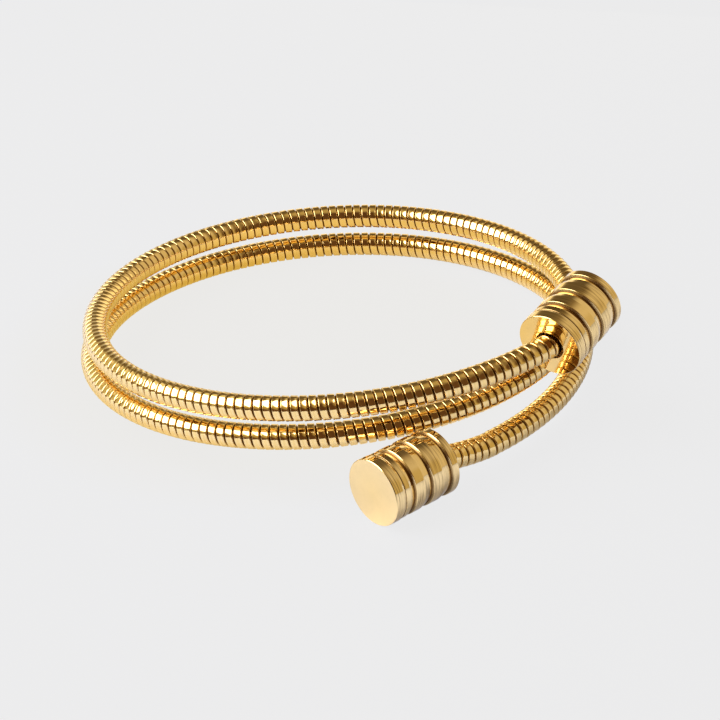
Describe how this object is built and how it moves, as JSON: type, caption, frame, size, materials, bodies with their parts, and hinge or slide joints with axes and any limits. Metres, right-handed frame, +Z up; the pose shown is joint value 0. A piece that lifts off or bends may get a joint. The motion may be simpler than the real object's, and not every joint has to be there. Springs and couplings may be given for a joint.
{
  "type": "coil bangle bracelet",
  "caption": "Springy coil bangle: a polished gold-coloured flexible metal tube wound into a spiral, ending in turned, grooved barrel caps.",
  "frame": {"origin": "on the coil's centre, on the surface that the bangle rests on", "axes": "+Z up from that surface; -Y towards the lower cap and the viewer; +X towards the upper cap"},
  "size_m": [0.0653, 0.0732, 0.0182],
  "materials": {
    "tube_metal": "polished, spirally ribbed",
    "cap_metal": "polished, with fine turning marks"
  },
  "bodies": {
    "root": {"flexible_tube": "tube_metal", "lower_end_cap": "cap_metal", "upper_end_cap": "cap_metal"}
  },
  "joints": []
}
